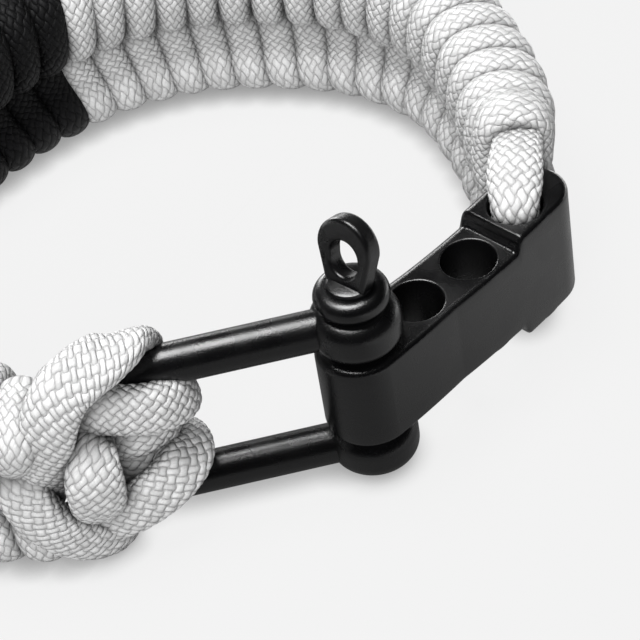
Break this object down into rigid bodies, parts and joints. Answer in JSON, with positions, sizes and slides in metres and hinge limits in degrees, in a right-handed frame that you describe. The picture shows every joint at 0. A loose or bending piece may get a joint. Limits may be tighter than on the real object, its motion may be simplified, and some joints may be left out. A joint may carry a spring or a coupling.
{
  "type": "paracord bracelet",
  "caption": "Woven cord bracelet lying on its side, white with a black stretch, closed by a bow shackle with a screw pin and a curved adjuster block with holes.",
  "frame": {"origin": "middle of the wrist opening, on the surface that the bracelet lies on", "axes": "+Z along the wrist, -Y towards the clasp, +X towards the adjuster block"},
  "size_m": [0.0792, 0.0728, 0.0298],
  "materials": {
    "black_metal": "satin black coating with a fine grain",
    "white_cord": "braided nylon sheath with a soft sheen",
    "black_cord": "braided nylon sheath, matt black"
  },
  "bodies": {
    "bracelet": {"shackle_bow": "black_metal", "adjuster_block": "black_metal", "bow_hitch": "white_cord", "hitch_fill": "white_cord", "band_white_bow_side": "white_cord", "band_black": "black_cord", "band_white_block_side": "white_cord", "block_loop": "white_cord"},
    "pin": {"shackle_pin": "black_metal"}
  },
  "joints": [
    {"name": "pin_draw", "type": "slide", "parent": "bracelet", "child": "pin", "axis": [0, 0, 1], "range_m": [0, 0.016]}
  ]
}
